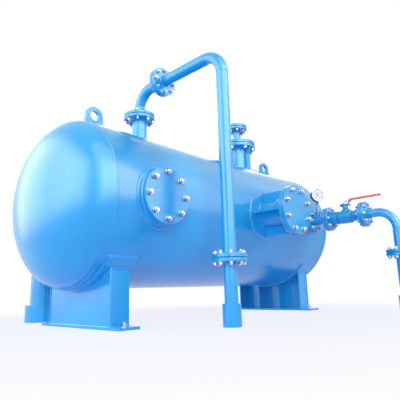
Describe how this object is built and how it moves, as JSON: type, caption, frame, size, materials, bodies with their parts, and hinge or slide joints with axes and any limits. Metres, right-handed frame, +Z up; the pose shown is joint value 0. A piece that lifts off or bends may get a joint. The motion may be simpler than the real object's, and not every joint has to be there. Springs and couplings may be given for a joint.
{
  "type": "horizontal pressure tank",
  "caption": "Horizontal cylindrical pressure tank with domed heads on two saddles, with bolted hatches, top nozzles, riser and outlet pipes, a gauge and a lever valve.",
  "frame": {"origin": "on the ground, at the middle of the rectangle of foundation bolt holes, under the middle of the tank", "axes": "+X along the tank from the inlet end to the outlet end, -Y toward the hatches and the valve, +Z up"},
  "size_m": [3.25, 2.6804, 2.027],
  "materials": {
    "sky_blue_paint": "gloss enamel on steel",
    "red_grip": "moulded red vinyl grip",
    "plated_steel": "bright zinc plate",
    "gauge_black": "satin black case"
  },
  "bodies": {
    "tank": {"dome_flanges": "sky_blue_paint", "dome_neck": "sky_blue_paint", "dome_ribs": "sky_blue_paint", "far_base_plate": "sky_blue_paint", "far_hatch_cover": "sky_blue_paint", "far_hatch_flange": "sky_blue_paint", "far_hatch_neck": "sky_blue_paint", "far_hatch_ribs": "sky_blue_paint", "far_head": "sky_blue_paint", "far_lug": "sky_blue_paint", "far_saddle_ribs": "sky_blue_paint", "far_saddle_web": "sky_blue_paint", "far_wear_plate": "sky_blue_paint", "gauge_tee": "sky_blue_paint", "ground_sleeves": "sky_blue_paint", "inlet_flanges": "sky_blue_paint", "inlet_neck": "sky_blue_paint", "near_base_plate": "sky_blue_paint", "near_hatch_cover": "sky_blue_paint", "near_hatch_ring": "sky_blue_paint", "near_head": "sky_blue_paint", "near_lug": "sky_blue_paint", "near_saddle_ribs": "sky_blue_paint", "near_saddle_web": "sky_blue_paint", "near_wear_plate": "sky_blue_paint", "nozzle_pads": "sky_blue_paint", "outlet_bend": "sky_blue_paint", "outlet_line_flanges": "sky_blue_paint", "outlet_line_pipes": "sky_blue_paint", "outlet_neck": "sky_blue_paint", "pressure_gauge": "gauge_black", "rear_bend": "sky_blue_paint", "rear_line_flanges": "sky_blue_paint", "rear_line_pipes": "sky_blue_paint", "rear_neck": "sky_blue_paint", "riser_line_bends": "sky_blue_paint", "riser_line_flanges": "sky_blue_paint", "riser_line_pipes": "sky_blue_paint", "shell": "sky_blue_paint", "valve_body": "sky_blue_paint", "vent_flanges": "sky_blue_paint", "vent_neck": "sky_blue_paint"},
    "lever": {"lever_grip": "red_grip", "valve_lever": "plated_steel", "valve_stem": "plated_steel"}
  },
  "joints": [
    {"name": "lever_turn", "type": "hinge", "parent": "tank", "child": "lever", "pos_m": [0.946, -1.019, 0.99], "axis": [0, 0, 1], "range_deg": [-90, 0]}
  ]
}
